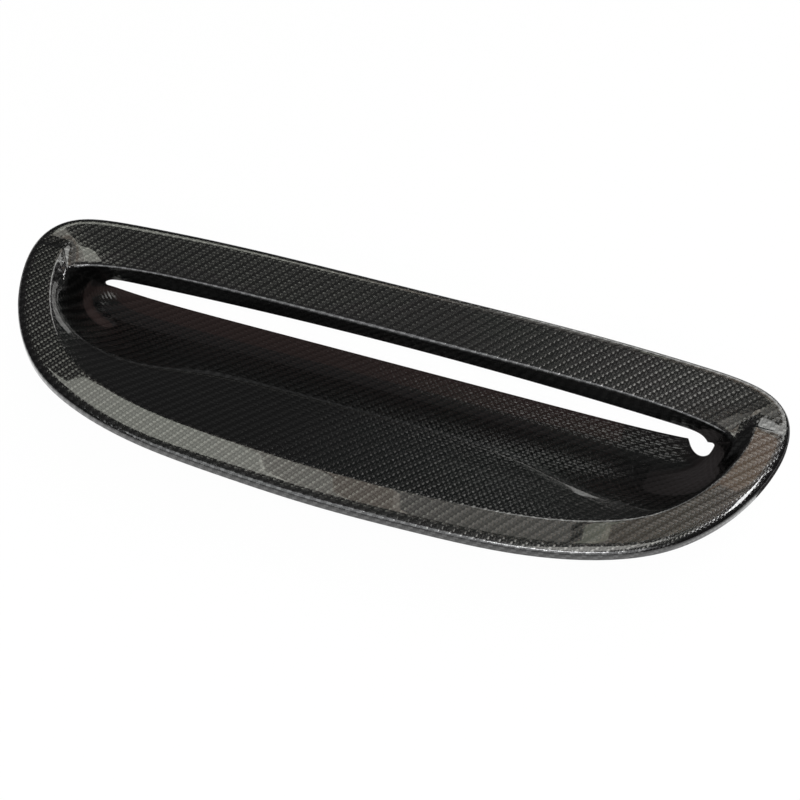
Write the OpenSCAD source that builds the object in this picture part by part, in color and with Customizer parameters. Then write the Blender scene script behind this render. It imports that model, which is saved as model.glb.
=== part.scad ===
// Hood air intake cover: one thin moulded shell. A low rim wall stands on the hood, a shoulder runs
// in from it to a crease, and behind the crease a dished ramp falls to a long slot. A lip turns down
// over the slot, and its ends sweep forward into the side walls of the pocket.
// Millimetres. X runs along the length, +Y to the rear, +Z up, and z = 0 is the rim's seat.

/* [Cover] */
// Overall length, end to end
cover_l = 480; // [360:1:700]
// Overall width, front edge to rear edge
cover_w = 168; // [130:1:260]
// Thickness of the moulded wall
wall_t = 2; // [1:0.1:2.2]

/* [Rim] */
// Height of the rim's top edge above its seat
rim_h = 6; // [5:0.5:14]
// Lean of the rim wall, in over its height
rim_draft = 0.6; // [0:0.1:2]
// Reach of the rim's rounding down the rim wall
rim_round_down = 5; // [4:0.5:8]
// Reach of the rim's rounding in across the shoulder
rim_round_in = 6; // [4:0.5:10]

/* [Shoulder and roof] */
// Width of the shoulder, from the outline in to the crease
shoulder_w = 20.5; // [14:0.5:32]
// Height of the crease above the seat, in front and at the ends
crease_h = 6; // [3:0.5:12]
// Reach of the crease's bend to each side, in front
crease_bend = 1.2; // [0.6:0.1:5]
// Reach of the bend that the crease fades into on the roof
roof_bend = 8; // [4:0.5:12]
// Width of the roof at the middle, from the shoulder to the lip
roof_w = 13.8; // [8:0.2:30]

/* [Lip] */
// Width of the land between the crease and the nose at each end of the lip
nose_land = 9.5; // [6:0.5:20]
// Height of the lip at its middle, over the seat
lip_h = -1.8; // [-6:0.2:4]
// Rise of the lip at its noses
lip_rise = 2.5; // [0:0.5:5]
// Sweep of the lip, forward at its noses
lip_sweep = 19.1; // [8:0.1:30]
// Depth of the face that turns down from the lip
face_h = 17; // [10:0.5:26]
// Lean of that face to the rear
face_lean = 5.2; // [0:0.2:9]
// Reach of the lip's rounding to each side
lip_round = 3.6; // [3.6:0.1:5]

/* [Pocket and ramp] */
// Reach of the pocket's upper edge, forward of the noses
pocket_reach = 39; // [25:0.5:50]
// Reach of the bend at that edge in front, where the wall has faded out
pocket_bend = 12; // [6:0.5:16]
// Reach of the pocket's foot, forward of where it starts on the end wall
foot_reach = 38; // [25:0.5:50]
// Reach of the bend along the foot in front
foot_bend = 10; // [5:0.5:14]
// Reach of the bend at the foot beside the slot
foot_round = 3; // [2:0.5:6]

/* [Slot] */
// Distance from each nose of the lip in to the slot's end
slot_inset = 11; // [6:0.5:18]
// Height of the slot between the ramp's rear edge and the lip face's lower edge
slot_gap = 19.1; // [10:0.1:26]
// Bow of the lip face's lower edge, forward at its ends
slot_bow = 6.6; // [2:0.1:12]
// Drop of that edge at its ends
slot_drop = 7; // [0:0.5:9]
// Sweep of the ramp's edge, to the rear at its ends
slot_sweep = 3; // [0:0.5:8]
// Reach of the cut that opens the right end of the slot forward into the ramp
notch_reach = 23; // [0:0.5:30]
// Length of that cut, from the slot's end along the ramp's edge
notch_l = 10; // [5:0.5:20]

/* [Hidden] */
black = [0.06, 0.06, 0.07];

// Facets along each span of the outline, and across each bend of the section
span_steps = 6;
bend_steps = 3;

half_l = cover_l / 2;
half_w = cover_w / 2;
nose_x = half_l - shoulder_w - nose_land;
lip_y = half_w - shoulder_w - roof_w;
nose_y = lip_y - lip_sweep;
nose_z = lip_h + lip_rise;
slot_x = nose_x - slot_inset;
slot_y = lip_y + face_lean;
slot_end_y = slot_y - slot_bow;
slot_top = lip_h - face_h;
slot_end_z = slot_top - slot_drop;
slot_low = slot_top - slot_gap;
ramp_y = shoulder_w - half_w;
ramp_fall = (crease_h - slot_low) / (slot_y - ramp_y);

// How sharply each curve turns at the ends: 2 is an ellipse, and higher powers are squarer
pocket_power = 5;
slot_power = 50;
face_power = 50;
sweep_power = 8;
rise_power = 12;
edge_power = 10;
foot_power = 24;
// Where the foot starts on the end wall, up from the slot's end towards the nose
foot_share = 0.35;
// The stretch of the half length over which the pocket's bends open out, from the end forward
bend_end = 0.97;
bend_front = 0.8;
// The largest share of a leg that one bend takes, and that the cut at the slot takes
bend_share = 0.48;
cut_share = 0.93;

// Half outline as the control points of a smooth curve, front centre to rear centre, each a share of
// the half length and the half width. The first, the last and the end's own point are set by
// the others, so that the curve just touches the overall length and width.
front_shape = [[0.242, -0.98], [0.458, -0.942], [0.647, -0.814], [0.801, -0.6], [0.92, -0.209],
    [0.985, 0.204]];
rear_shape = [[0.985, 0.764], [0.911, 0.915], [0.748, 0.957], [0.453, 1.004]];
end_level = 0.518;

// Where it passes a control point, the curve takes 4 parts of that point and 1 of each neighbour
own_part = 4;
all_parts = own_part + 2;
end_pull = (all_parts - front_shape[len(front_shape) - 1].x - rear_shape[0].x) / own_part;
front_pull = (-all_parts - 2 * front_shape[0].y) / own_part;
rear_pull = (all_parts - 2 * rear_shape[len(rear_shape) - 1].y) / own_part;
half_shape = concat([[0, front_pull]], front_shape, [[end_pull, end_level]], rear_shape, [[0, rear_pull]]);
end_step = (len(front_shape) + 1) * span_steps;
last_step = (len(half_shape) - 1) * span_steps;

function mix(a, b, t) = a + (b - a) * t;
function clamp(t) = max(0, min(1, t));

// Height of a curve that is 1 at the middle and falls to 0 at the end
function dome(x, power) = sqrt(max(0, 1 - pow(x, power)));

// Control point i, mirrored past the centre line at either end of the half outline
function control(i) = let (last = len(half_shape) - 1, k = i < 0 ? -i : i > last ? 2 * last - i : i,
    flip = i == k ? 1 : -1)
    [flip * half_shape[k].x * half_l, half_shape[k].y * half_w];

// Weights of four neighbouring control points at t along a span, and their rates of change
function weights(t) = [pow(1 - t, 3), 3 * pow(t, 3) - 6 * t * t + 4,
    -3 * pow(t, 3) + 3 * t * t + 3 * t + 1, pow(t, 3)] / 6;
function rates(t) = [-pow(1 - t, 2), 3 * t * t - 4 * t, -3 * t * t + 2 * t + 1, t * t] / 2;
function weighted(w, i) = w[0] * control(i - 1) + w[1] * control(i) + w[2] * control(i + 1)
    + w[3] * control(i + 2);
function span(step) = min(floor(step / span_steps), len(half_shape) - 2);
function outline(step) = weighted(weights(step / span_steps - span(step)), span(step));
function heading(step) = let (d = weighted(rates(step / span_steps - span(step)), span(step))) d / norm(d);

// Height of the flat ramp at y, from the crease down to the slot
function ramp_z(y) = crease_h - ramp_fall * (y - ramp_y);

// The section's corners at a step of the right half outline, from the seat in to the slot's edge
function corners(step) =
    let (rim = outline(step), along = heading(step), inward = [-along.y, along.x],
        front = step <= end_step, x = min(1, rim.x / half_l),
        fade = front ? 0 : sqrt(clamp((rim.y - outline(end_step).y) / (half_w - outline(end_step).y))),
        crease = rim + inward * shoulder_w,
        roof_h = mix(rim_h, lip_h, shoulder_w / (shoulder_w + roof_w)),
        pocket = dome(x, pocket_power),
        edge_y = nose_y + (front ? -pocket_reach : lip_sweep) * pocket,
        edge_z = front ? mix(ramp_z(edge_y), nose_z, pow(x, edge_power))
            : mix(lip_h, nose_z, pow(x, rise_power)),
        edge = [nose_x * x, edge_y, edge_z],
        slot = front ? [slot_x * x,
            mix(slot_end_y, slot_y + slot_sweep * pow(x, sweep_power), dome(x, slot_power)),
            mix(slot_end_z, slot_low, dome(x, slot_power))]
            : [slot_x * x, slot_y - slot_bow * x * x, mix(slot_top, slot_end_z, pow(x, face_power))],
        foot_end = mix([slot_x, slot_end_y, slot_end_z], [nose_x, nose_y, nose_z], foot_share),
        foot_y = foot_end.y - foot_reach * pocket,
        foot = front ? [foot_end.x * x, foot_y, mix(ramp_z(foot_y), foot_end.z, pow(x, foot_power))]
            : mix(slot, edge, foot_share))
    [[rim.x, rim.y, 0], [rim.x + inward.x * rim_draft, rim.y + inward.y * rim_draft, rim_h],
        [crease.x, crease.y, mix(crease_h, roof_h, fade)], edge, foot, slot];

// How far each bend reaches from its corner, back and on, at the same step
function reaches(step) =
    let (rim = outline(step), front = step <= end_step, x = min(1, rim.x / half_l),
        fade = front ? 0 : sqrt(clamp((rim.y - outline(end_step).y) / (half_w - outline(end_step).y))),
        tight = front ? clamp((x - bend_front) / (bend_end - bend_front)) : 1,
        crease = mix(crease_bend, roof_bend, fade), edge = mix(pocket_bend, lip_round, tight),
        foot = mix(foot_bend, foot_round, tight))
    [[rim_round_down, rim_round_in], [crease, crease], [edge, edge], [foot, foot]];

// The right end's cut takes this much off the section at the slot. It is a half round, drawn out
// forward of its deepest point, which lies a quarter of its length from the slot's end.
function notch(step) =
    let (x = slot_x * min(1, outline(step).x / half_l), from_end = (slot_x - x) / notch_l)
    step <= end_step ? notch_reach * dome(abs(2 * sqrt(from_end) - 1), 2) : 0;

// A bend from a to b round corner v, its reach kept within its own half of each leg
function bend(a, v, b, back, on) =
    let (p = mix(v, a, min(back / norm(a - v), bend_share)),
        q = mix(v, b, min(on / norm(b - v), bend_share)))
    [for (k = [0 : bend_steps]) let (t = k / bend_steps) mix(mix(p, v, t), mix(v, q, t), t)];

// One whole section of the upper skin, with its last point drawn back by the cut
function section(step, cut) =
    let (c = corners(step), r = reaches(step), end = len(c) - 1, leg = c[end - 1] - c[end],
        edge = c[end] + leg * min(cut / norm(leg), cut_share))
    concat([c[0]], [for (i = [1 : end - 1]) each bend(c[i - 1], c[i], i == end - 1 ? edge : c[i + 1],
        r[i - 1][0], r[i - 1][1])], [edge]);

upper = concat([for (step = [0 : last_step]) section(step, notch(step))],
    [for (step = [last_step - 1 : -1 : 1]) [for (p = section(step, 0)) [-p.x, p.y, p.z]]]);
columns = len(upper);
rows = len(upper[0]);

function column(i) = upper[(i + columns) % columns];
function facing(i, j) = let (along = column(i + 1)[j] - column(i - 1)[j],
    across = upper[i][min(j + 1, rows - 1)] - upper[i][max(j - 1, 0)], n = cross(along, across)) n / norm(n);

// The under skin lies one wall inside the upper one, and both end on the seat
lower = [for (i = [0 : columns - 1]) [for (j = [0 : rows - 1])
    let (p = upper[i][j] - facing(i, j) * wall_t) j == 0 ? [p.x, p.y, 0] : p]];

// Two triangles for each patch of the skin, split along its shorter diagonal
function patch(points, a, b, c, d) = norm(points[a] - points[c]) <= norm(points[b] - points[d])
    ? [[a, b, c], [a, c, d]] : [[a, b, d], [b, c, d]];

module intake_cover() {
    ring = 2 * rows;
    points = [for (i = [0 : columns - 1])
        each concat(upper[i], [for (j = [rows - 1 : -1 : 0]) lower[i][j]])];
    faces = [for (i = [0 : columns - 1], k = [0 : ring - 1])
        let (next = (i + 1) % columns, up = (k + 1) % ring)
        each patch(points, i * ring + k, i * ring + up, next * ring + up, next * ring + k)];
    color(black) polyhedron(points, faces);
}

intake_cover();
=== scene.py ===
"""Dresses the hood air intake cover: a gloss carbon fibre shell, on a white studio floor."""

import logging
import math
from dataclasses import dataclass, field
from enum import Enum

import bpy
import numpy as np
from mathutils import Matrix

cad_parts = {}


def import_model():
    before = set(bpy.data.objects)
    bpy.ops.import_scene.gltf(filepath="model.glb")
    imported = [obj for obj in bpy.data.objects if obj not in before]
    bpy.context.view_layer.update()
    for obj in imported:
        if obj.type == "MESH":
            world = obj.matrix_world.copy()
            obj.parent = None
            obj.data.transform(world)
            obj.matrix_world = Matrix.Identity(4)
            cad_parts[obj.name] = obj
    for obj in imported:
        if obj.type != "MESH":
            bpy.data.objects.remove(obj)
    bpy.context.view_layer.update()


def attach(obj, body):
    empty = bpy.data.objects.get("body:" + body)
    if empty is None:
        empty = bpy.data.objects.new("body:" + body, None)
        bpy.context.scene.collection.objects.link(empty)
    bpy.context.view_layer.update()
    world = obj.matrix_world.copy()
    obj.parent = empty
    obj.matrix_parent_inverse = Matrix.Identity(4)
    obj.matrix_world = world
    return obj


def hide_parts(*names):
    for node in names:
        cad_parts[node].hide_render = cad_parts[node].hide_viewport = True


LOG = logging.getLogger("intake_cover")
MM = 0.001
TINY = 1e-12
IMAGE_PX = 800.0
SENSOR_MM = 36.0
# Factors that turn a point of the right half into its twin on the left
FLIP = np.array([-1.0, 1.0, 1.0])
# Where the lamps over the left shoulder are seen from, in mm, and two distances of lamps, in m
LEFT_SHOULDER = (-30.0, -70.0, 6.0)
NEAR_M = 4.0
FAR_M = 12.0


class Side(Enum):
    """The finish slots of the shell, by the side of the skin that they cover."""

    UPPER = 0
    UNDER = 1
    CUT_EDGE = 2


def mix(a: np.ndarray, b: np.ndarray, t: np.ndarray) -> np.ndarray:
    """Straight blend: a plus t times the step from a to b."""
    return a + (b - a) * t


def dome(x: np.ndarray, power: float) -> np.ndarray:
    """Curve that is 1 at the middle and 0 at the end: the root of one less x to the power."""
    return np.sqrt(np.clip(1.0 - x**power, 0.0, 1.0))


def unit(v: np.ndarray) -> np.ndarray:
    """Each vector of the last axis divided by its length."""
    return v / np.maximum(np.linalg.norm(v, axis=-1, keepdims=True), TINY)


def put(name: str, data: bpy.types.ID) -> bpy.types.Object:
    """Puts a mesh, a lamp or a camera into the scene as an object at the origin.

    Args:
        name: The object's name.
        data: Its mesh, lamp or camera.

    Returns:
        The object.
    """
    obj = bpy.data.objects.new(name, data)
    bpy.context.collection.objects.link(obj)
    return obj


def stand(obj: bpy.types.Object, axes: tuple, at: np.ndarray) -> None:
    """Turns and moves a lamp or the camera by the matrix whose columns are its axes and its place.

    Args:
        obj: The lamp or the camera.
        axes: The directions of its own X, Y and Z.
        at: Its place, m.
    """
    turn = np.eye(4)
    turn[:3] = np.column_stack([*axes, at])
    obj.matrix_world = Matrix(turn.tolist())


def bare_material(name: str) -> tuple[bpy.types.Material, bpy.types.Node]:
    """A material with nothing but its output.

    Args:
        name: The material's name.

    Returns:
        The material, and its output node.
    """
    mat = bpy.data.materials.new(name)
    mat.use_nodes = True
    mat.node_tree.nodes.clear()
    return mat, mat.node_tree.nodes.new("ShaderNodeOutputMaterial")


def glowing(name: str, colour: tuple) -> bpy.types.Material:
    """A material that only glows, at a strength of 1.

    Args:
        name: The material's name.
        colour: Its colour.

    Returns:
        The material.
    """
    mat, out = bare_material(name)
    glow = mat.node_tree.nodes.new("ShaderNodeEmission")
    glow.inputs["Color"].default_value = colour
    mat.node_tree.links.new(glow.outputs[0], out.inputs["Surface"])
    return mat


@dataclass
class Outline:
    """Plan outline of the rim's foot, a smooth curve through the shares of its control points.

    Attributes:
        length: End to end, mm.
        width: Front edge to rear edge, mm.
        front_shape: Control points from the front centre towards the end, as shares.
        rear_shape: Control points from the end towards the rear centre, as shares.
        end_level: Height in the plan of the end's own control point, as a share.
        own_part: Parts that the curve takes of a control point where it passes it, with 1 of
            each neighbour.
    """

    length: float = 480.0
    width: float = 168.0
    front_shape: tuple = ((0.242, -0.98), (0.458, -0.942), (0.647, -0.814), (0.801, -0.6), (0.92, -0.209),
                          (0.985, 0.204))
    rear_shape: tuple = ((0.985, 0.764), (0.911, 0.915), (0.748, 0.957), (0.453, 1.004))
    end_level: float = 0.518
    own_part: float = 4.0

    def controls(self) -> np.ndarray:
        """Control points of the right half with one mirrored point past each end of it, in mm.

        The first, the last and the end's own point are set so that the curve just touches the
        overall sizes: a knot of the curve is a sixth of its neighbours and four sixths of its own.

        Returns:
            Points in plan, one a row.
        """
        front, rear = np.array(self.front_shape), np.array(self.rear_shape)
        all_parts = self.own_part + 2.0
        end_pull = (all_parts - front[-1, 0] - rear[0, 0]) / self.own_part
        front_pull = (-all_parts - 2.0 * front[0, 1]) / self.own_part
        rear_pull = (all_parts - 2.0 * rear[-1, 1]) / self.own_part
        half = np.vstack([[0.0, front_pull], front, [end_pull, self.end_level], rear, [0.0, rear_pull]])
        half = half * [self.length / 2.0, self.width / 2.0]
        return np.vstack([half[1] * FLIP[:2], half, half[-2] * FLIP[:2]])

    def end_step(self, steps: int) -> int:
        """Index of the step that lies on the end of the cover, with that many steps a span."""
        return (len(self.front_shape) + 1) * steps

    def run(self, steps: int) -> tuple[np.ndarray, np.ndarray]:
        """Points and headings along the right half, front centre to rear centre.

        A span is the uniform cubic curve of four neighbouring control points: the weighted sum of
        them, with the weights' rates of change for the heading.

        Args:
            steps: Steps on each span.

        Returns:
            Points in mm, and unit headings.
        """
        ctrl = self.controls()
        spans = len(ctrl) - 3
        at = np.arange(spans * steps + 1) / steps
        k = np.minimum(at.astype(int), spans - 1)
        t = (at - k)[:, None]
        a, b, c, d = ctrl[k], ctrl[k + 1], ctrl[k + 2], ctrl[k + 3]
        point = ((1 - t) ** 3 * a + (3 * t**3 - 6 * t**2 + 4) * b + (-3 * t**3 + 3 * t**2 + 3 * t + 1) * c
                 + t**3 * d) / 6.0
        rate = (-((1 - t) ** 2) * a + (3 * t**2 - 4 * t) * b + (-3 * t**2 + 2 * t + 1) * c + t**2 * d) / 2.0
        return point, unit(rate)


@dataclass
class Shell:
    """The cover's one moulded skin, with the sizes of its rim, shoulder, lip, pocket and slot in mm.

    Sizes, powers and shares are named as in the part's source. The powers say how sharply each
    curve turns at the ends: 2 is an ellipse, and higher ones are squarer. The steps are those of
    the fine upper skin and of the plainer under skin.
    """

    outline: Outline = field(default_factory=Outline)
    wall_t: float = 2.0
    rim_h: float = 6.0
    rim_draft: float = 0.6
    rim_round_down: float = 5.0
    rim_round_in: float = 6.0
    shoulder_w: float = 20.5
    crease_h: float = 6.0
    crease_bend: float = 1.2
    roof_bend: float = 8.0
    roof_w: float = 13.8
    nose_land: float = 9.5
    lip_h: float = -1.8
    lip_rise: float = 2.5
    lip_sweep: float = 19.1
    face_h: float = 17.0
    face_lean: float = 5.2
    lip_round: float = 3.6
    pocket_reach: float = 39.0
    pocket_bend: float = 12.0
    foot_reach: float = 38.0
    foot_bend: float = 10.0
    foot_round: float = 3.0
    slot_inset: float = 11.0
    slot_gap: float = 19.1
    slot_bow: float = 6.6
    slot_drop: float = 7.0
    slot_sweep: float = 3.0
    notch_reach: float = 23.0
    notch_l: float = 10.0
    pocket_power: int = 5
    slot_power: int = 50
    face_power: int = 50
    sweep_power: int = 8
    rise_power: int = 12
    edge_power: int = 10
    foot_power: int = 24
    foot_share: float = 0.35
    bend_end: float = 0.97
    bend_front: float = 0.8
    bend_share: float = 0.48
    cut_share: float = 0.93
    steps: int = 24
    bend_steps: int = 8
    leg_steps: tuple = (2, 7, 8, 6, 12)
    under_bend_steps: int = 3
    under_leg_steps: tuple = (1, 3, 4, 3, 6)
    heading_rows: int = 10

    def corners(self) -> tuple[np.ndarray, np.ndarray, np.ndarray, np.ndarray]:
        """The section's corners along the right half, from the seat in to the slot's edge.

        The rim is the outline, leaned in over its height. The crease is the outline set in by the
        shoulder. The pocket's edge, its foot and the slot are domes over the half length x: the
        reach times the root of one less x to a power. The ramp is a plane from the crease to the
        slot, and heights blend from it to the nose by high powers of x.

        Returns:
            Corners (step, corner, xyz), share x of the half length, True in front, and the fade
            from the end to the rear centre.
        """
        point, head = self.outline.run(self.steps)
        end = self.outline.end_step(self.steps)
        inward = np.stack([-head[:, 1], head[:, 0]], axis=1)
        front = np.arange(len(point)) <= end
        half_l, half_w = self.outline.length / 2.0, self.outline.width / 2.0
        x = np.minimum(1.0, point[:, 0] / half_l)
        past_end = (point[:, 1] - point[end, 1]) / (half_w - point[end, 1])
        fade = np.where(front, 0.0, np.sqrt(np.clip(past_end, 0.0, 1.0)))
        nose = np.array([half_l - self.shoulder_w - self.nose_land,
                         half_w - self.shoulder_w - self.roof_w - self.lip_sweep, self.lip_h + self.lip_rise])
        slot_y = nose[1] + self.lip_sweep + self.face_lean
        top = self.lip_h - self.face_h
        low = top - self.slot_gap
        slot_end = np.array([nose[0] - self.slot_inset, slot_y - self.slot_bow, top - self.slot_drop])
        ramp_y = self.shoulder_w - half_w
        fall = (self.crease_h - low) / (slot_y - ramp_y)
        crease = point + inward * self.shoulder_w
        roof_h = mix(self.rim_h, self.lip_h, self.shoulder_w / (self.shoulder_w + self.roof_w))
        pocket, mouth = dome(x, self.pocket_power), dome(x, self.slot_power)
        edge_y = nose[1] + np.where(front, -self.pocket_reach, self.lip_sweep) * pocket
        ramp_edge = mix(self.crease_h - fall * (edge_y - ramp_y), nose[2], x**self.edge_power)
        edge_z = np.where(front, ramp_edge, mix(self.lip_h, nose[2], x**self.rise_power))
        edge = np.stack([nose[0] * x, edge_y, edge_z], axis=1)
        front_y = mix(slot_end[1], slot_y + self.slot_sweep * x**self.sweep_power, mouth)
        slot_z = np.where(front, mix(slot_end[2], low, mouth), mix(top, slot_end[2], x**self.face_power))
        slot = np.stack([slot_end[0] * x, np.where(front, front_y, slot_y - self.slot_bow * x * x), slot_z],
                        axis=1)
        foot_end = mix(slot_end, nose, self.foot_share)
        foot_y = foot_end[1] - self.foot_reach * pocket
        foot_z = mix(self.crease_h - fall * (foot_y - ramp_y), foot_end[2], x**self.foot_power)
        foot = np.where(front[:, None], np.stack([foot_end[0] * x, foot_y, foot_z], axis=1),
                        mix(slot, edge, self.foot_share))
        level = np.zeros(len(x))
        rim_top = point + inward * self.rim_draft
        rings = [np.column_stack([point, level]), np.column_stack([rim_top, level + self.rim_h]),
                 np.column_stack([crease, mix(self.crease_h, roof_h, fade)]), edge, foot, slot]
        return np.stack(rings, axis=1), x, front, fade

    def reaches(self, x: np.ndarray, front: np.ndarray, fade: np.ndarray) -> np.ndarray:
        """How far each bend reaches from its corner, back and on, at each step.

        The crease's bend opens from sharp in front to wide on the roof. The pocket's two bends
        are tight beside the slot and open out forward.

        Args:
            x: Share of the half length.
            front: True on the front columns.
            fade: Share of the way from the end to the rear centre.

        Returns:
            Reaches (step, bend, back and on) in mm.
        """
        opened = (x - self.bend_front) / (self.bend_end - self.bend_front)
        tight = np.where(front, np.clip(opened, 0.0, 1.0), 1.0)
        crease = mix(self.crease_bend, self.roof_bend, fade)
        edge = mix(self.pocket_bend, self.lip_round, tight)
        foot = mix(self.foot_bend, self.foot_round, tight)
        rim = np.stack([np.full_like(x, self.rim_round_down), np.full_like(x, self.rim_round_in)], axis=1)
        return np.stack([rim] + [np.stack([r, r], axis=1) for r in (crease, edge, foot)], axis=1)

    def cut_back(self, corner: np.ndarray, front: np.ndarray) -> np.ndarray:
        """The corners with the slot's edge drawn back where the right end is cut further.

        Args:
            corner: Corners (step, corner, xyz).
            front: True on the front columns.

        Returns:
            The corners, with the last moved up its own leg by a half round that is drawn out
            forward: the dome of twice the root of the share of the cut's length, less one.
        """
        corner = corner.copy()
        slot_x = corner[:, -1, 0]
        from_end = (slot_x.max() - slot_x) / self.notch_l
        take = self.notch_reach * dome(np.abs(2.0 * np.sqrt(from_end) - 1.0), 2.0) * front
        leg = corner[:, -2] - corner[:, -1]
        corner[:, -1] += leg * np.minimum(take / np.linalg.norm(leg, axis=1), self.cut_share)[:, None]
        return corner

    def sections(self, corner: np.ndarray, reach: np.ndarray, bends: int, legs: tuple) -> np.ndarray:
        """Points along every section: straight legs joined by bends.

        A bend is the quadratic curve on its corner and on the points that its reach marks on the
        two legs, each kept within its own half of the leg.

        Args:
            corner: Corners (step, corner, xyz).
            reach: Reaches (step, bend, back and on).
            bends: Steps across each bend.
            legs: Steps along each straight leg.

        Returns:
            Points (step, row, xyz) in mm.
        """
        leg = np.linalg.norm(np.diff(corner, axis=1), axis=2)
        back = np.minimum(reach[:, :, 0] / leg[:, :-1], self.bend_share)[:, :, None]
        on = np.minimum(reach[:, :, 1] / leg[:, 1:], self.bend_share)[:, :, None]
        start = mix(corner[:, 1:-1], corner[:, :-2], back)
        stop = mix(corner[:, 1:-1], corner[:, 2:], on)
        rows = [corner[:, :1]]
        last = corner[:, 0]
        t = (np.arange(bends + 1) / bends)[None, :, None]
        for k, count in enumerate(legs[:-1]):
            s = (np.arange(1, count) / count)[None, :, None]
            rows.append(mix(last[:, None], start[:, k, None], s))
            a, v, b = start[:, k, None], corner[:, k + 1, None], stop[:, k, None]
            rows.append(mix(mix(a, v, t), mix(v, b, t), t))
            last = stop[:, k]
        s = (np.arange(1, legs[-1] + 1) / legs[-1])[None, :, None]
        rows.append(mix(last[:, None], corner[:, -1, None], s))
        return np.concatenate(rows, axis=1)

    def crease_row(self, bends: int, legs: tuple) -> int:
        """Row of a skin at the middle of the crease's bend: past two legs and one and a half bends."""
        return legs[0] + bends + legs[1] + bends // 2

    def skin(self, bends: int, legs: tuple) -> np.ndarray:
        """The upper skin all round, right half and then left half, which has no cut at the slot.

        Args:
            bends: Steps across each bend.
            legs: Steps along each straight leg.

        Returns:
            Points (column, row, xyz) in mm.
        """
        corner, x, front, fade = self.corners()
        reach = self.reaches(x, front, fade)
        right = self.sections(self.cut_back(corner, front), reach, bends, legs)
        left = self.sections(corner, reach, bends, legs)[-2:0:-1] * FLIP
        return np.concatenate([right, left], axis=0)

    def offset(self, skin: np.ndarray) -> np.ndarray:
        """The skin moved one wall inwards along its normals, with its first row kept on the seat.

        A normal is the cross product of the step to the next column and the step to the next row.

        Args:
            skin: Points (column, row, xyz) in mm.

        Returns:
            The moved points.
        """
        along = np.roll(skin, -1, axis=0) - np.roll(skin, 1, axis=0)
        across = np.gradient(skin, axis=1)
        inner = skin - unit(np.cross(along, across)) * self.wall_t
        inner[:, 0, 2] = 0.0
        return inner

    def cloth(self, skin: np.ndarray, crease_row: int) -> np.ndarray:
        """Where each point lies on the flat cloth, in mm.

        A point is its place in plan, moved along its column's heading by what the true distance
        from the crease exceeds the distance in plan, so that the cloth keeps its scale on slopes
        and runs on over the rim and the lip. The heading runs in plan from the seat to some rows
        past the crease.

        Args:
            skin: Points (column, row, xyz) in mm.
            crease_row: The row that lies on the crease.

        Returns:
            Cloth places (column, row, two) in mm.
        """
        plan = skin[:, :, :2]
        last = min(crease_row + self.heading_rows, skin.shape[1] - 1)
        head = unit(plan[:, last] - plan[:, 0])[:, None]
        step = np.diff(skin, axis=1)
        forward = (step[:, :, :2] * head).sum(axis=2)
        excess = np.hypot(forward, step[:, :, 2]) - forward
        run = np.concatenate([np.zeros((len(skin), 1)), np.cumsum(excess, axis=1)], axis=1)
        return plan + head * (run - run[:, crease_row:crease_row + 1])[:, :, None]


@dataclass(frozen=True)
class Drape:
    """How the flat cloth's tows lie on one part of the shell, from where it leaves the front crease.

    Attributes:
        along: Distance between the tows that run across the cover, on the front crease, mm.
        spread: How much that distance grows for each mm behind the crease.
        across: Distance between the tows that run along the cover, mm.
        lean: How far the tows lean to the right for each mm behind the crease.
        curl: How much that lean grows, for each mm squared.
        skew: How many tows the cover's length crosses for each mm.
    """

    along: float = 1.57
    spread: float = 0.0014
    across: float = 2.06
    lean: float = -0.078
    curl: float = 0.00047
    skew: float = 0.036

    def counts(self, cloth: np.ndarray, crease_y: float) -> np.ndarray:
        """Places on the cloth counted in tows.

        With v the distance behind the front crease, the first count is the place along, less the
        lean times v and the curl times v squared, over the pitch at v. The second is v over its
        pitch, less the skew times the place along.

        Args:
            cloth: Cloth places in mm, two in the last axis.
            crease_y: Where the front crease lies on the cloth, mm.

        Returns:
            The two counts.
        """
        x, v = cloth[..., 0], cloth[..., 1] - crease_y
        first = (x - self.lean * v - self.curl * v * v) / (self.along + self.spread * v)
        return np.stack([first, v / self.across - self.skew * x], axis=-1)


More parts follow.
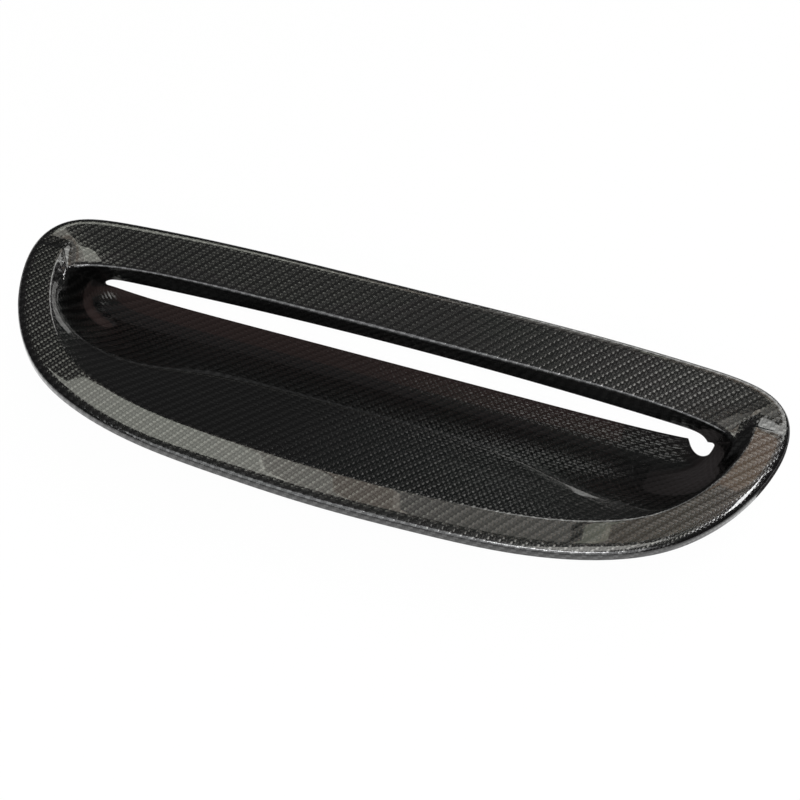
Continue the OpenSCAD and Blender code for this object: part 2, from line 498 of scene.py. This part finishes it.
@dataclass(frozen=True)
class TwillFinish:
    """Two by two twill of carbon tows under resin.

    Attributes:
        name: The material's name.
        coat: Weight of the clear coat.
        coat_roughness: Its roughness.
        coat_ior: Its index of refraction.
        base: Colour of the fibres on a tow's crown.
        gap: Colour between the tows.
        roughness: Roughness of the fibres under the coat.
        metallic: Share of the light that the fibres mirror and don't scatter.
        rise: Slope of a float at the ends where it dives.
        round: Slope of a tow at its edges.
        fibre: Spread of the fibres' slopes across a tow.
        warp: Painted shade on the tows that run across the cover: their brightness as a share of
        the others', darker in place of the glints that they don't catch.
    """

    name: str
    coat: float = 1.0
    coat_roughness: float = 0.02
    coat_ior: float = 1.5
    base: tuple = (0.075, 0.075, 0.074, 1.0)
    gap: tuple = (0.006, 0.006, 0.006, 1.0)
    roughness: float = 0.15
    metallic: float = 0.93
    rise: float = 0.14
    round: float = 0.07
    fibre: float = 0.08
    # The warp share is painted shade: the tows that run across the cover are darkened in place of the glints
    # that they don't catch.
    warp: float = 0.35

    def build(self, weave: bpy.types.NodeTree) -> bpy.types.Material:
        """The finish as a material, with the shared weave group.

        Args:
            weave: The twill node group.

        Returns:
            The material.
        """
        mat = bpy.data.materials.new(self.name)
        mat.use_nodes = True
        tree = mat.node_tree
        shader = tree.nodes["Principled BSDF"]
        cloth = tree.nodes.new("ShaderNodeUVMap")
        cloth.uv_map = "cloth"
        group = tree.nodes.new("ShaderNodeGroup")
        group.node_tree = weave
        group.inputs["Rise"].default_value = self.rise
        group.inputs["Round"].default_value = self.round
        group.inputs["Fibre"].default_value = self.fibre
        group.inputs["Warp"].default_value = self.warp
        tint = tree.nodes.new("ShaderNodeMixRGB")
        tint.inputs[1].default_value = self.gap
        tint.inputs[2].default_value = self.base
        link = tree.links.new
        link(cloth.outputs["UV"], group.inputs["Cloth"])
        link(group.outputs["Body"], tint.inputs[0])
        link(tint.outputs[0], shader.inputs["Base Color"])
        link(group.outputs["Normal"], shader.inputs["Normal"])
        shader.inputs["Roughness"].default_value = self.roughness
        shader.inputs["Metallic"].default_value = self.metallic
        shader.inputs["Coat Weight"].default_value = self.coat
        shader.inputs["Coat Roughness"].default_value = self.coat_roughness
        shader.inputs["Coat IOR"].default_value = self.coat_ior
        return mat


@dataclass(frozen=True)
class PlainFinish:
    """One resin or laminate finish with a fine mottle.

    Attributes:
        name: The material's name.
        dark: Colour in the hollows.
        light: Colour on the grains.
        roughness: Roughness of the surface.
        grain: Size of the mottle, mm.
        detail: Finer layers of the mottle.
    """

    name: str
    dark: tuple
    light: tuple
    roughness: float
    grain: float
    detail: float = 3.0

    def build(self) -> bpy.types.Material:
        """The finish as a material: a noise in object coordinates blends the two colours.

        Returns:
            The material.
        """
        mat = bpy.data.materials.new(self.name)
        mat.use_nodes = True
        tree = mat.node_tree
        shader = tree.nodes["Principled BSDF"]
        where = tree.nodes.new("ShaderNodeTexCoord")
        noise = tree.nodes.new("ShaderNodeTexNoise")
        noise.inputs["Scale"].default_value = 1.0 / (self.grain * MM)
        noise.inputs["Detail"].default_value = self.detail
        tint = tree.nodes.new("ShaderNodeMixRGB")
        tint.inputs[1].default_value = self.dark
        tint.inputs[2].default_value = self.light
        link = tree.links.new
        link(where.outputs["Object"], noise.inputs["Vector"])
        link(noise.outputs["Fac"], tint.inputs[0])
        link(tint.outputs[0], shader.inputs["Base Color"])
        shader.inputs["Roughness"].default_value = self.roughness
        return mat


@dataclass
class WeaveGroup:
    """Node group that draws a two by two twill on cloth places counted in tows.

    Attributes:
        repeat: Tows in one repeat of the twill.
        half_float: Half the length of a float, in tows.
        warp_until: Parts the remainders with the warp on top, 0 and 1, from the others.
        strands: Strands across a tow.
        edge_power: How square a float's shade is across.
        end_power: How square it is along.
        tree: The node group.
    """

    repeat: float = 4.0
    half_float: float = 1.0
    warp_until: float = 1.5
    strands: float = 40.0
    edge_power: float = 6.0
    end_power: float = 8.0
    tree: bpy.types.NodeTree = field(init=False)

    def __post_init__(self) -> None:
        """Starts an empty group with its sockets."""
        self.tree = bpy.data.node_groups.new("twill_weave", "ShaderNodeTree")
        face = self.tree.interface
        face.new_socket("Cloth", in_out="INPUT", socket_type="NodeSocketVector")
        for name in ("Rise", "Round", "Fibre", "Warp"):
            face.new_socket(name, in_out="INPUT", socket_type="NodeSocketFloat")
        face.new_socket("Normal", in_out="OUTPUT", socket_type="NodeSocketVector")
        face.new_socket("Body", in_out="OUTPUT", socket_type="NodeSocketFloat")

    def fill(self, node: bpy.types.Node, values: tuple) -> bpy.types.NodeSocket:
        """Links or sets a node's inputs in order.

        Args:
            node: The node.
            values: Its values in order, each a socket, or a number for the input's own value.

        Returns:
            The node's first output.
        """
        for socket, value in zip(node.inputs, values):
            if isinstance(value, bpy.types.NodeSocket):
                self.tree.links.new(value, socket)
            else:
                socket.default_value = value
        return node.outputs[0]

    def math(self, op: str, *values: object) -> bpy.types.NodeSocket:
        """One Math node.

        Args:
            op: The operation's name.
            *values: Its values in order, each a socket or a number.

        Returns:
            The node's output socket.
        """
        node = self.tree.nodes.new("ShaderNodeMath")
        node.operation = op
        return self.fill(node, values)

    def vector(self, op: str, *values: object) -> bpy.types.NodeSocket:
        """One Vector Math node.

        Args:
            op: The operation's name.
            *values: Its values in order, each a socket or a vector.

        Returns:
            The node's output socket.
        """
        node = self.tree.nodes.new("ShaderNodeVectorMath")
        node.operation = op
        return self.fill(node, values)

    def scaled(self, direction: bpy.types.NodeSocket, amount: bpy.types.NodeSocket) -> bpy.types.NodeSocket:
        """The direction times the amount.

        Args:
            direction: A vector socket.
            amount: A number socket.

        Returns:
            The node's output socket.
        """
        node = self.tree.nodes.new("ShaderNodeVectorMath")
        node.operation = "SCALE"
        self.tree.links.new(direction, node.inputs[0])
        self.tree.links.new(amount, node.inputs["Scale"])
        return node.outputs[0]

    def product(self, a: bpy.types.NodeSocket, b: bpy.types.NodeSocket) -> bpy.types.NodeSocket:
        """The first value times the second."""
        return self.math("MULTIPLY", a, b)

    def signed(self, share: bpy.types.NodeSocket) -> bpy.types.NodeSocket:
        """A share from 0 to 1 as a value from -1 to 1: twice the share, less one."""
        return self.math("MULTIPLY_ADD", share, 2.0, -1.0)

    def remainder(self, value: bpy.types.NodeSocket) -> bpy.types.NodeSocket:
        """What is left of a value over whole repeats of the twill."""
        return self.math("FLOORED_MODULO", value, self.repeat)

    def either(self, warp: bpy.types.NodeSocket, on_warp: bpy.types.NodeSocket,
               on_weft: bpy.types.NodeSocket) -> bpy.types.NodeSocket:
        """One value on warp floats and another on weft floats.

        The warp's mask times the first value, plus one less the mask times the second.

        Args:
            warp: 1 where the warp is on top, and 0 elsewhere.
            on_warp: The value there.
            on_weft: The value elsewhere.

        Returns:
            The value's socket.
        """
        weft = self.math("SUBTRACT", 1.0, warp)
        return self.math("ADD", self.product(warp, on_warp), self.product(weft, on_weft))

    def strand(self, across: bpy.types.NodeSocket, fibre: bpy.types.NodeSocket) -> bpy.types.NodeSocket:
        """Slope of one strand: a random value from minus to plus the spread, the same all along it.

        Args:
            across: Place across the tows, counted in tows.
            fibre: The spread.

        Returns:
            The slope's socket.
        """
        noise = self.tree.nodes.new("ShaderNodeTexWhiteNoise")
        noise.noise_dimensions = "1D"
        number = self.math("FLOOR", self.math("MULTIPLY", across, self.strands))
        self.tree.links.new(number, noise.inputs["W"])
        return self.product(self.signed(noise.outputs["Value"]), fibre)

    def build(self) -> bpy.types.NodeTree:
        """The weave.

        With a and b the places in tows, i and j their whole parts and m the remainder of i less j
        by 4, the warp is on top where m is under 2. A float is two tows long. Its place along runs
        from -1 to 1 between the ends where it dives, and its place across from -1 to 1 between
        its edges. Its slope is the rise times the place along, and the round times the place
        across with the strand's own slope added. The normal leans by these two slopes. The body is
        1 on a float and falls to 0 at its edges and ends. A warp float keeps only a share of it,
        a painted shade in place of the glints that the warp tows don't catch.

        Returns:
            The node group.
        """
        tree, m = self.tree, self.math
        source = tree.nodes.new("NodeGroupInput")
        sink = tree.nodes.new("NodeGroupOutput")
        split = tree.nodes.new("ShaderNodeSeparateXYZ")
        tree.links.new(source.outputs["Cloth"], split.inputs[0])
        a, b = split.outputs["X"], split.outputs["Y"]
        rise, round_off, fibre, warp_painted_shade = (source.outputs[k] for k in ("Rise", "Round", "Fibre", "Warp"))
        i, j = m("FLOOR", a), m("FLOOR", b)
        warp = m("LESS_THAN", self.remainder(m("SUBTRACT", i, j)), self.warp_until)
        half = self.half_float
        warp_along = m("SUBTRACT", self.remainder(m("ADD", m("SUBTRACT", b, i), half)), half)
        weft_along = m("SUBTRACT", self.remainder(m("SUBTRACT", a, j)), self.repeat - half)
        warp_across = self.signed(m("SUBTRACT", a, i))
        weft_across = self.signed(m("SUBTRACT", b, j))
        warp_side = m("ADD", self.product(warp_across, round_off), self.strand(a, fibre))
        weft_side = m("ADD", self.product(weft_across, round_off), self.strand(b, fibre))
        lean_x = self.either(warp, warp_side, self.product(weft_along, rise))
        lean_y = self.either(warp, self.product(warp_along, rise), weft_side)
        surface = tree.nodes.new("ShaderNodeNewGeometry").outputs["Normal"]
        tangent = tree.nodes.new("ShaderNodeTangent")
        tangent.direction_type = "UV_MAP"
        tangent.uv_map = "cloth"
        along = tangent.outputs[0]
        side = self.vector("CROSS_PRODUCT", surface, along)
        lean = self.vector("ADD", self.scaled(along, lean_x), self.scaled(side, lean_y))
        normal = self.vector("NORMALIZE", self.vector("ADD", surface, lean))
        tree.links.new(normal, sink.inputs["Normal"])
        across = m("ABSOLUTE", self.either(warp, warp_across, weft_across))
        run = m("ABSOLUTE", self.either(warp, warp_along, weft_along))
        body = self.product(m("SUBTRACT", 1.0, m("POWER", across, self.edge_power)),
                            m("SUBTRACT", 1.0, m("POWER", run, self.end_power)))
        # Painted shade: a warp float keeps only the warp share of the body, darker in place of the glints
        # that it doesn't catch.
        shade = m("MULTIPLY_ADD", warp, m("SUBTRACT", warp_painted_shade, 1.0), 1.0)
        tree.links.new(self.product(body, shade), sink.inputs["Body"])
        return tree


@dataclass
class IntakeCover:
    """The whole cover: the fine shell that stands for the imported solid.

    Attributes:
        shell: The shell.
        flats: The cloth on the rim, the shoulder, the roof and the lip.
        dish: The cloth in the dish in front of the slot.
        sharp_deg: Angle between faces past which an edge is drawn sharp, degrees.
    """

    shell: Shell
    flats: Drape
    dish: Drape
    sharp_deg: float = 40.0

    def build(self) -> bpy.types.Object:
        """The closed mesh: upper skin, under skin and the two edges between them.

        Each column is the upper skin's rows from the seat to the slot and the under skin's back
        again. A face joins a place to the next column and the next row, round both ways. Faces of
        the dish take its own cloth, so that the seam lies on the front crease.

        Returns:
            The object, with its cloth map and the finish slot of each face.
        """
        shell = self.shell
        fine, plain = (shell.bend_steps, shell.leg_steps), (shell.under_bend_steps, shell.under_leg_steps)
        upper, outer = shell.skin(*fine), shell.skin(*plain)
        upper_crease, under_crease = shell.crease_row(*fine), shell.crease_row(*plain)
        ring = np.concatenate([upper, shell.offset(outer)[:, ::-1]], axis=1)
        cloth = np.concatenate([shell.cloth(upper, upper_crease), shell.cloth(outer, under_crease)[:, ::-1]],
                               axis=1)
        crease_y = shell.shoulder_w - shell.outline.width / 2.0
        drapes = (self.flats, self.dish)
        on_flats, in_dish = (drape.counts(cloth, crease_y).reshape(-1, 2) for drape in drapes)
        columns, rows = ring.shape[:2]
        i, k = np.meshgrid(np.arange(columns), np.arange(rows), indexing="ij")
        here, beyond = i * rows, (i + 1) % columns * rows
        up = (k + 1) % rows
        quads = np.stack([here + k, beyond + k, beyond + up, here + up], axis=-1).reshape(-1, 4)
        mesh = bpy.data.meshes.new("intake_cover_shell")
        mesh.from_pydata(ring.reshape(-1, 3) * MM, [], quads)
        side = np.full((columns, rows), Side.UPPER.value)
        side[:, upper.shape[1]:] = Side.UNDER.value
        side[:, upper.shape[1] - 1] = Side.CUT_EDGE.value
        side[:, -1] = Side.CUT_EDGE.value
        mesh.polygons.foreach_set("material_index", side.reshape(-1).astype(np.int32))
        past_crease = (k >= upper_crease) & (k < rows - under_crease)
        end = shell.outline.end_step(shell.steps)
        dished = (past_crease & ((i < end) | (i >= columns - end))).reshape(-1, 1, 1)
        counts = np.where(dished, in_dish[quads], on_flats[quads])
        mesh.uv_layers.new(name="cloth").data.foreach_set("uv", counts.astype(np.float32).reshape(-1))
        mesh.polygons.foreach_set("use_smooth", np.ones(len(quads), dtype=bool))
        mesh.update()
        mesh.set_sharp_from_angle(angle=math.radians(self.sharp_deg))
        return put("intake_cover_shell", mesh)

    def dress(self, obj: bpy.types.Object, finishes: dict[Side, bpy.types.Material]) -> None:
        """Fills the finish slots in the order of Side.

        Args:
            obj: The shell.
            finishes: A material for each side.
        """
        for side in Side:
            obj.data.materials.append(finishes[side])


@dataclass(frozen=True)
class Viewpoint:
    """The photograph's camera: where it stands, how it is turned, and its lens.

    Attributes:
        place: Its place, mm.
        azimuth: Turn about the vertical, degrees.
        elevation: Height of the view above the horizon, degrees.
        roll: Turn about the line of sight, degrees.
        focal_px: Focal length in pixels of the image.
        centre_px: Where the line of sight meets the image.
        clip_m: The nearest and the farthest that it sees, m.
    """

    place: tuple = (148.1, -404.66, 551.08)
    azimuth: float = 19.383
    elevation: float = 51.0
    roll: float = 0.435
    focal_px: float = 1192.67
    centre_px: tuple = (372.137, 370.185)
    clip_m: tuple = (0.01, 50.0)

    def build(self) -> bpy.types.Object:
        """The camera, from its right, up and backward directions as the columns of its matrix.

        The view ahead is the azimuth's and elevation's direction. Right and down turn about it by
        the roll: each is its own cosine share, and the other's sine share.

        Returns:
            The camera.
        """
        az, el, ro = (math.radians(v) for v in (self.azimuth, self.elevation, self.roll))
        ahead = np.array([-math.sin(az) * math.cos(el), math.cos(az) * math.cos(el), -math.sin(el)])
        right = np.array([math.cos(az), math.sin(az), 0.0])
        down = np.cross(ahead, right)
        turned = right * math.cos(ro) + down * math.sin(ro)
        down = down * math.cos(ro) - right * math.sin(ro)
        data = bpy.data.cameras.new("camera")
        data.sensor_width = SENSOR_MM
        data.lens = self.focal_px * SENSOR_MM / IMAGE_PX
        data.shift_x = (IMAGE_PX / 2.0 - self.centre_px[0]) / IMAGE_PX
        data.shift_y = (self.centre_px[1] - IMAGE_PX / 2.0) / IMAGE_PX
        data.clip_start, data.clip_end = self.clip_m
        cam = put("camera", data)
        stand(cam, (turned, -down, -ahead), np.array(self.place) * MM)
        bpy.context.scene.camera = cam
        return cam


@dataclass(frozen=True)
class Softbox:
    """A rectangular studio lamp aimed at the cover, set by the directions that it fills.

    Attributes:
        name: The lamp's name.
        azimuths: Its two sides, degrees from +X towards +Y.
        elevations: Its lower and upper edge above the horizon, degrees.
        radiance: Brightness of its face, where 1 is white.
        colour: Colour of its light.
        eye: The place that the directions are seen from, mm.
        distance: Distance from there, m.
    """

    name: str
    azimuths: tuple
    elevations: tuple
    radiance: float
    colour: tuple = (1.0, 1.0, 1.0)
    eye: tuple = (0.0, 0.0, 0.0)
    distance: float = 2.0

    def build(self) -> bpy.types.Object:
        """The lamp.

        It faces its place of sight from the middle of its directions. Its half width and height
        are the distance times the tangent of half their spread, the width also times the cosine
        of its elevation. Its power is pi times its area times the radiance.

        Returns:
            The lamp.
        """
        spans = (self.azimuths, self.elevations)
        az, el = (math.radians(sum(pair) / 2.0) for pair in spans)
        half_az, half_el = (math.radians(abs(pair[1] - pair[0]) / 2.0) for pair in spans)
        width = 2.0 * self.distance * math.tan(half_az) * math.cos(el)
        height = 2.0 * self.distance * math.tan(half_el)
        data = bpy.data.lights.new(self.name, "AREA")
        data.shape = "RECTANGLE"
        data.size, data.size_y = width, height
        data.color = self.colour
        data.energy = self.radiance * math.pi * width * height
        lamp = put(self.name, data)
        lamp.visible_camera = False
        out = np.array([math.cos(az) * math.cos(el), math.sin(az) * math.cos(el), math.sin(el)])
        side = np.array([-math.sin(az), math.cos(az), 0.0])
        stand(lamp, (side, np.cross(out, side), out), out * self.distance + np.array(self.eye) * MM)
        return lamp


@dataclass(frozen=True)
class Studio:
    """White floor, dim surroundings, soft lamps and a dark card.

    Attributes:
        floor_z: Height of the floor, m.
        floor_half: Half its side, m.
        floor_paint: Its colour in the light.
        floor_glow: Share of plain white in it, as the camera and mirrors see it.
        low_sky: Colour of the surroundings at the horizon.
        mid_sky: Their colour part of the way up.
        top_sky: Their colour overhead.
        low_until: Height of the direction up to which the lowest colour holds.
        mid_at: Height of the direction that has the middle colour.
        card_front: Front edge of the card on the floor, m.
        card_y: Where it folds up, m.
        card_top: Height of its top edge, m.
        card_half: Half its length, m.
        card_brown_end: Where its brown part ends on the right, m.
        card_lift: How far it lies over the floor, m.
        card_glow: Colour of its brown part.
        under_glow: Colour of the rest of it.
        lamps: The lamps.
    """

    floor_z: float = -0.0405
    floor_half: float = 6.0
    floor_paint: tuple = (0.95, 0.95, 0.95, 1.0)
    floor_glow: float = 0.97
    low_sky: tuple = (0.06, 0.06, 0.061, 1.0)
    mid_sky: tuple = (0.09, 0.09, 0.09, 1.0)
    top_sky: tuple = (0.22, 0.22, 0.215, 1.0)
    low_until: float = 0.3
    mid_at: float = 0.75
    card_front: float = 0.02
    card_y: float = 0.1
    card_top: float = -0.016
    card_half: float = 0.45
    card_brown_end: float = 0.15
    card_lift: float = 0.0004
    card_glow: tuple = (0.115, 0.08, 0.075, 1.0)
    under_glow: tuple = (0.05, 0.045, 0.045, 1.0)
    lamps: tuple = (
        Softbox("panel_left", (119.0, 139.0), (48.9, 58.8), 2.9, (1.0, 1.02, 0.91), LEFT_SHOULDER, FAR_M),
        Softbox("panel_fade", (112.7, 118.8), (48.9, 60.0), 2.0, (1.0, 0.98, 0.88), LEFT_SHOULDER, FAR_M),
        Softbox("panel_middle", (106.6, 112.4), (48.9, 60.0), 1.35, (1.0, 0.86, 0.72), LEFT_SHOULDER, FAR_M),
        Softbox("panel_end", (91.0, 106.4), (48.9, 60.0), 0.85, (1.0, 0.97, 0.9), LEFT_SHOULDER, FAR_M),
        Softbox("backdrop", (58.0, 97.0), (20.5, 46.0), 3.0, (1.0, 1.0, 0.97), (60.0, -40.0, 0.0), NEAR_M),
        Softbox("overhead", (-62.0, 62.0), (74.0, 86.0), 3.8, (1.0, 0.99, 0.94), (120.0, 50.0, 0.0)),
        Softbox("patch_right", (88.5, 91.0), (54.0, 60.0), 1.6, (1.0, 1.05, 0.85),
                (152.0, -55.0, 6.0), NEAR_M),
        Softbox("fill_right", (66.0, 88.4), (49.0, 60.0), 0.65, (1.0, 0.84, 0.68),
                (182.0, -42.0, 6.0), FAR_M),
        Softbox("warm_right", (74.0, 84.5), (50.0, 53.5), 0.9, (1.0, 0.6, 0.35), (215.0, 10.0, 6.0), NEAR_M),
        Softbox("front", (228.0, 322.0), (14.0, 70.0), 1.9, (0.97, 0.99, 1.0)),
        Softbox("strip_front", (272.0, 314.0), (55.0, 60.0), 24.0, eye=(120.0, -80.0, 3.0)),
        Softbox("strip_right", (32.0, 58.0), (51.5, 57.0), 18.0, eye=(220.0, -20.0, 3.0)),
    )

    def card(self) -> bpy.types.Object:
        """A dim folded card under and behind the slot, which only the gloss of the dish mirrors.

        Its corners are its three folds in section at its left end, at the end of its brown part
        and at its right end. Only the part of it that stands up on the left is brown.

        Returns:
            The card.
        """
        low = self.floor_z + self.card_lift
        folds = ((self.card_front, low), (self.card_y, low), (self.card_y, self.card_top))
        ends = (-self.card_half, self.card_brown_end, self.card_half)
        dark, brown = [(0, 1, 4, 3), (1, 2, 5, 4), (4, 5, 8, 7)], [(3, 4, 7, 6)]
        mesh = bpy.data.meshes.new("card")
        mesh.from_pydata([(x, y, z) for y, z in folds for x in ends], [], dark + brown)
        mesh.materials.append(glowing("dark_card", self.card_glow))
        mesh.materials.append(glowing("black_card", self.under_glow))
        for part in mesh.polygons[:len(dark)]:
            part.material_index = 1
        obj = put("card", mesh)
        obj.visible_camera = obj.visible_diffuse = obj.visible_shadow = False
        return obj

    def floor(self) -> bpy.types.Object:
        """The floor: a wide square that keeps the object's shadow.

        Its paint and a plain white glow are blended. The glow's share is the floor's glow on the
        camera's rays and on glossy and transmission rays, and nothing on the others.

        Returns:
            The floor.
        """
        h, z = self.floor_half, self.floor_z
        mesh = bpy.data.meshes.new("floor")
        mesh.from_pydata([(-h, -h, z), (h, -h, z), (h, h, z), (-h, h, z)], [], [(0, 1, 2, 3)])
        mat, out = bare_material("white_floor")
        tree = mat.node_tree
        paint = tree.nodes.new("ShaderNodeBsdfDiffuse")
        paint.inputs["Color"].default_value = self.floor_paint
        glow = tree.nodes.new("ShaderNodeEmission")
        path = tree.nodes.new("ShaderNodeLightPath")
        seen = tree.nodes.new("ShaderNodeMath")
        seen.operation = "MAXIMUM"
        through = tree.nodes.new("ShaderNodeMath")
        through.operation = "MAXIMUM"
        share = tree.nodes.new("ShaderNodeMath")
        share.operation = "MULTIPLY"
        share.inputs[1].default_value = self.floor_glow
        blend = tree.nodes.new("ShaderNodeMixShader")
        link = tree.links.new
        link(path.outputs["Is Camera Ray"], seen.inputs[0])
        link(path.outputs["Is Glossy Ray"], seen.inputs[1])
        link(seen.outputs[0], through.inputs[0])
        link(path.outputs["Is Transmission Ray"], through.inputs[1])
        link(through.outputs[0], share.inputs[0])
        link(share.outputs[0], blend.inputs[0])
        link(paint.outputs[0], blend.inputs[1])
        link(glow.outputs[0], blend.inputs[2])
        link(blend.outputs[0], out.inputs["Surface"])
        mesh.materials.append(mat)
        return put("floor", mesh)

    def world(self) -> None:
        """The surroundings: three colours blended by the height of the direction, dim to brighter."""
        world = bpy.data.worlds.new("studio")
        world.use_nodes = True
        tree = world.node_tree
        where = tree.nodes.new("ShaderNodeTexCoord")
        split = tree.nodes.new("ShaderNodeSeparateXYZ")
        ramp = tree.nodes.new("ShaderNodeValToRGB")
        stops = ramp.color_ramp.elements
        stops[0].position, stops[0].color = self.low_until, self.low_sky
        stops[1].position, stops[1].color = 1.0, self.top_sky
        stops.new(self.mid_at).color = self.mid_sky
        tree.links.new(where.outputs["Generated"], split.inputs[0])
        tree.links.new(split.outputs["Z"], ramp.inputs["Fac"])
        tree.links.new(ramp.outputs["Color"], tree.nodes["Background"].inputs["Color"])
        bpy.context.scene.world = world

    def build(self) -> bpy.types.Object:
        """Surroundings, lamps, card and floor.

        Returns:
            The floor.
        """
        self.world()
        for lamp in self.lamps:
            lamp.build()
        self.card()
        return self.floor()


def main() -> None:
    """Loads the frame, builds the camera, the studio and the cover."""
    logging.basicConfig(level=logging.INFO, format="%(name)s: %(message)s")
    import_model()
    bpy.context.scene.view_settings.view_transform = "Standard"
    Viewpoint().build()
    Studio().build()
    weave = WeaveGroup().build()
    edge = PlainFinish("laminate_edge", dark=(0.02, 0.02, 0.02, 1.0), light=(0.06, 0.06, 0.06, 1.0),
                       roughness=0.5, grain=0.6)
    finishes = {
        Side.UPPER: TwillFinish("carbon_gloss").build(weave),
        Side.UNDER: TwillFinish("carbon_back", coat=0.0, roughness=0.5, rise=0.12).build(weave),
        Side.CUT_EDGE: edge.build(),
    }
    cover = IntakeCover(Shell(), Drape(), Drape(across=2.75, lean=-0.004, curl=0.0))
    piece = cover.build()
    cover.dress(piece, finishes)
    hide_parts("intake_cover")
    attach(piece, "root")
    LOG.info("%s: %d vertices, %d faces", piece.name, len(piece.data.vertices), len(piece.data.polygons))


if __name__ == "__main__":
    main()
